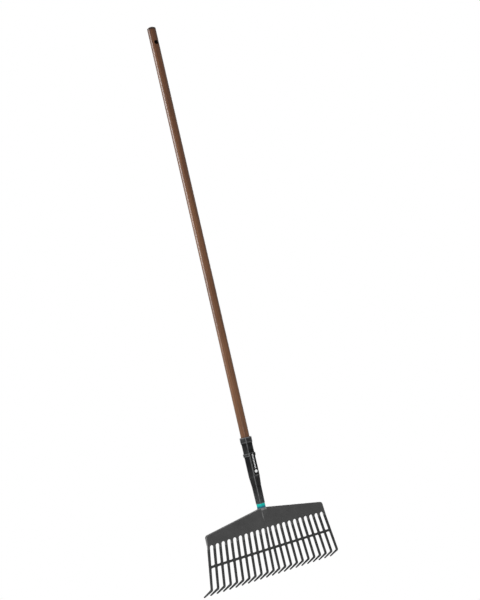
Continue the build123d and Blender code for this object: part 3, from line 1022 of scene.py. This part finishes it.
def hook_stations(start, across, hook):
    """The same from the end of the bend to the rounded tip."""
    along = Vector((0, sin(HOOK_TURN), -cos(HOOK_TURN)))
    places = [hook * step / TINE_STEPS for step in range(1, TINE_STEPS)]
    places += [hook - TIP_ROUND * cos(pi / 2 * step / EASE_STEPS) for step in range(EASE_STEPS)]
    places.append(hook - TIP_ROUND * TIP_STOP)
    stations = []
    for s in places:
        t = s / hook
        past = (s - hook + TIP_ROUND) / TIP_ROUND
        shrink = TIP_BLUNT + (1 - TIP_BLUNT) * sqrt(1 - past**2) if past > 0 else 1.0
        half_depth = (BEND_DEPTH + (TIP_DEPTH - BEND_DEPTH) * t) / 2 * shrink
        half_width = (BEND_WIDTH + (TIP_WIDTH - BEND_WIDTH) * t) / 2 * shrink
        centre = start + along * s
        stations.append((centre + across * half_depth, centre - across * half_depth, half_width, TINE_ROUND))
    return stations


def tine_stations(length, rib_start):
    """The same for a whole tine: rib, shank, bend, hook and tip."""
    plate_end = length - (BEND_DOWN - PLATE_BOTTOM)
    rib_top = PLATE_THICK - RIB_SINK
    stations = []
    for step in range(RIB_STEPS + 1):
        t = step / RIB_STEPS
        s = rib_start + (plate_end - rib_start) * t
        near, far = Vector((0, TINE_SETBACK, -s)), Vector((0, rib_top + (TINE_DEPTH - rib_top) * t, -s))
        stations.append((near, far, TINE_WIDTH / 2 - TINE_SETBACK, TINE_ROUND))
    run_in = (BEND_RADIUS + BEND_DEPTH / 2) * tan(HOOK_TURN / 2)
    stations += shank_stations(plate_end, length - run_in - plate_end)
    pivot = Vector((0, BEND_DEPTH + BEND_RADIUS, -length + run_in))
    for step in range(1, TINE_STEPS + 1):
        angle = HOOK_TURN * step / TINE_STEPS
        spoke = Vector((0, -cos(angle), -sin(angle)))
        near, far = pivot + spoke * (BEND_RADIUS + BEND_DEPTH), pivot + spoke * BEND_RADIUS
        stations.append((near, far, BEND_WIDTH / 2, TINE_ROUND))
    return stations + hook_stations((near + far) / 2, (near - far).normalized(), HOOK_LENGTH - run_in)


def tine(index, side):
    """One tine with its hook and its rib up the back of the plate."""
    bm = bmesh.new()
    (top_x, top_down), (bend_x, bend_down) = tine_ends(index)
    length = sqrt((bend_x - top_x) ** 2 + (bend_down - top_down) ** 2)
    rib_start = length - (BEND_DOWN - PLATE_BOTTOM) - RIB_LENGTH
    stations = tine_stations(length, rib_start)
    add_loft(bm, [box_ring(half, near, far, radius) for near, far, half, radius in stations])
    turn = Matrix.Rotation(-side * atan(tine_slope(index)), 4, "Y")
    bm.transform(head_place() @ Matrix.Translation((side * top_x, 0, -top_down)) @ turn)
    return bm


def tie_bars():
    """The short bars between neighbouring tines, each flaring where it meets them."""
    bm = bmesh.new()
    order = tine_order()
    middle = (BAR_TOP + BAR_BOTTOM) / 2
    half_height = (BAR_BOTTOM - BAR_TOP) / 2
    front, back = Vector((0, BAR_RECESS, 0)), Vector((0, BAR_RECESS + BAR_DEPTH, 0))
    for left, right in zip(order, order[1:]):
        left_edge, right_edge = gap_edges(left, right)
        low, high = left_edge(middle), right_edge(middle)
        run = high - low
        left_end = [(low - BAR_BURY, 1.0)] + [(low + run * part, flare) for part, flare in BAR_FLARES]
        right_end = [(high - run * part, flare) for part, flare in reversed(BAR_FLARES)]
        rings = []
        for x, flare in [*left_end, *right_end, (high + BAR_BURY, 1.0)]:
            ring = box_ring(half_height + BAR_FLARE * flare, front, back, TINE_ROUND)
            rings.append([Vector((x, point.y, point.x - middle)) for point in ring])
        add_loft(bm, rings)
    bm.transform(head_place())
    return bm


# ---- the rake ----

HEX_EDGES = (0.5095, 0.5125)            # pointiness limits of the painted edge highlight, for corners rounded in six steps
SLAB_EDGES = (0.526, 0.533)             # and for rims rounded in coarser steps

wood = stained_wood()
socket_black = plastic(
    "socket_plastic",
    dark=srgb(14, 14, 15),
    light=srgb(19, 19, 20),
    glint_colour=srgb(102, 103, 104),
    edges=HEX_EDGES,
    gloss=0.46,
    grain=0.00003,
    specular=0.1,
)
badge_black = plastic(
    "badge_plastic",
    dark=srgb(17, 18, 18),
    light=srgb(23, 24, 24),
    glint_colour=srgb(100, 101, 102),
    edges=SLAB_EDGES,
    gloss=0.38,
    grain=0.00002,
    specular=0.12,
    # the badge's foot is a painted highlight: its lower rim drawn lighter, as where it catches light
    foot=(badge_low.z + 0.0022, 0.0008, srgb(96, 97, 98)),
)
head_grey = plastic(
    "head_plastic",
    dark=srgb(61, 61, 61),
    light=srgb(69, 69, 69),
    glint_colour=srgb(123, 123, 123),
    edges=SLAB_EDGES,
    gloss=0.5,
    grain=0.00004,
    specular=0.2,
)
# painted shade: a darker copy of the head's grey, for tines and tie bars whose sides stand in shade
tine_grey_shaded = plastic(
    "tine_plastic_shaded",
    dark=srgb(46, 47, 47),
    light=srgb(54, 55, 55),
    glint_colour=srgb(70, 71, 71),
    edges=SLAB_EDGES,
    gloss=0.5,
    grain=0.00004,
    specular=0.15,
)
ring_teal = plastic(
    "ring_plastic",
    dark=srgb(4, 150, 140),
    light=srgb(8, 164, 154),
    glint_colour=srgb(30, 176, 168),
    edges=HEX_EDGES,
    gloss=0.36,
    grain=0.00002,
    specular=0.2,
    # the ring's foot is painted shade: its lower band drawn darker, as in the shade of the head below it
    foot=(ring_low.z + 0.0055, 0.0015, srgb(30, 96, 112)),
)
ink = pad_print()
steel = zinc_steel()

piece("pole", pole(), wood, "handle", 30)
piece("pole_hole", hang_hole(), hole_shade_wood())
piece("sleeve", sleeve(), socket_black, "socket_sleeve")
piece("sleeve_ramp", badge_ramp(), badge_black)
piece("barrel", body(), socket_black, "socket_body")
piece("badge", badge(), badge_black, "badge_plate")
piece("badge_mark", mark(), ink, "badge_inlay")
piece("snap_ring", colour_ring(), ring_teal, "colour_ring")
piece("head_plate", plate(), head_grey, "blade")
piece("head_flange", flange(), head_grey)
piece("head_keel", keel(), head_grey)
piece("head_tie_bars", tie_bars(), tine_grey_shaded, "tie_bar")
for number, (index, side) in enumerate(tine_order(), start=1):
    piece(f"head_tine_{number:02d}", tine(index, side), tine_grey_shaded, f"tine_{number:02d}")

for name in ("pole_screw", "tang_screw"):
    screw = frame["nodes"][name]
    screw.data.materials.clear()
    screw.data.materials.append(steel)
    soft = screw.modifiers.new("soft_edges", "BEVEL")
    soft.width = SCREW_ROUND
    soft.segments = SCREW_ROUND_STEPS
    soft.limit_method = "ANGLE"


# ---- stage, light and camera ----

AIM = Vector((0, 0, -0.8))              # the lights point here, at the middle of the rake
WORLD_STRENGTH = 0.38
FLOOR_HALF = 60
FLOOR_GAP = 0.0005
CAMERA_PLACE = Vector((-1.6287, -2.9426, -1.1087))
CAMERA_AZIMUTH = radians(30.27)
CAMERA_ELEVATION = radians(4.82)
CAMERA_ROLL = radians(-13.07)
CAMERA_LENS = 67.62


def white_for_camera(tree, lit_output, white_output):
    """What lights the rake is one shader, and what the lens sees behind it is plain white."""
    ray = add_node(tree, "ShaderNodeLightPath").outputs["Is Camera Ray"]
    made = add_node(tree, "ShaderNodeMixShader", Fac=ray)
    tree.links.new(lit_output, made.inputs[1])
    tree.links.new(white_output, made.inputs[2])
    return made.outputs["Shader"]


def world():
    """An even, soft surrounding light."""
    made = bpy.data.worlds.new("studio")
    bpy.context.scene.world = made
    made.use_nodes = True
    tree = made.node_tree
    tree.nodes.clear()
    lit = add_node(tree, "ShaderNodeBackground", Color=(1, 1, 1, 1), Strength=WORLD_STRENGTH)
    white = add_node(tree, "ShaderNodeBackground", Color=(1, 1, 1, 1), Strength=1.0)
    output = add_node(tree, "ShaderNodeOutputWorld")
    both = white_for_camera(tree, lit.outputs["Background"], white.outputs["Background"])
    tree.links.new(both, output.inputs["Surface"])


def floor():
    """A plain pale floor just under the hooks."""
    bm = bmesh.new()
    bmesh.ops.create_grid(bm, x_segments=1, y_segments=1, size=FLOOR_HALF)
    mesh = bpy.data.meshes.new("floor")
    bm.to_mesh(mesh)
    bm.free()
    made = bpy.data.objects.new("floor", mesh)
    made.location.z = cad_low.z - FLOOR_GAP
    bpy.context.scene.collection.objects.link(made)
    material = bpy.data.materials.new("pale_floor")
    material.use_nodes = True
    tree = material.node_tree
    tree.nodes.clear()
    lit = add_node(tree, "ShaderNodeBsdfDiffuse", Color=srgb(225, 225, 225))
    white = add_node(tree, "ShaderNodeEmission", Color=(1, 1, 1, 1), Strength=1.0)
    output = add_node(tree, "ShaderNodeOutputMaterial")
    both = white_for_camera(tree, lit.outputs["BSDF"], white.outputs["Emission"])
    tree.links.new(both, output.inputs["Surface"])
    mesh.materials.append(material)


def softbox(name, place, width, height, power, shine=True):
    """A soft area light, which can be kept out of the pieces' shine."""
    light = bpy.data.lights.new(name, "AREA")
    light.shape = "RECTANGLE"
    light.size = width
    light.size_y = height
    light.energy = power
    made = bpy.data.objects.new(name, light)
    made.location = place
    made.rotation_mode = "QUATERNION"
    made.rotation_quaternion = (AIM - Vector(place)).to_track_quat("-Z", "Y")
    made.visible_camera = False
    made.visible_glossy = shine
    bpy.context.scene.collection.objects.link(made)


def camera():
    """The camera stands to the left of the rake's front and is rolled, so the pole leans."""
    azimuth, elevation, roll = CAMERA_AZIMUTH, CAMERA_ELEVATION, CAMERA_ROLL
    forward = Vector((sin(azimuth) * cos(elevation), cos(azimuth) * cos(elevation), sin(elevation)))
    level = Vector((cos(azimuth), -sin(azimuth), 0))
    rise = level.cross(forward)
    right = level * cos(roll) + rise * sin(roll)
    upward = rise * cos(roll) - level * sin(roll)
    lens = bpy.data.cameras.new("camera")
    lens.sensor_width = 36
    lens.lens = CAMERA_LENS
    made = bpy.data.objects.new("camera", lens)
    facing = Matrix((right, upward, -forward)).transposed().to_4x4()
    made.matrix_world = Matrix.Translation(CAMERA_PLACE) @ facing
    bpy.context.scene.collection.objects.link(made)
    bpy.context.scene.camera = made


world()
floor()
softbox("key", (-1.9, -3.1, 0.3), 2.0, 1.4, 118, shine=False)
softbox("left", (-1.1, 0.37, -0.25), 0.4, 1.3, 18)
softbox("right_back", (1.8, 2.4, -0.4), 0.8, 2.2, 20)
softbox("socket_shine", (-1.25, -2.1, -1.5), 0.5, 0.5, 2)
camera()
bpy.context.scene.view_settings.view_transform = "Standard"
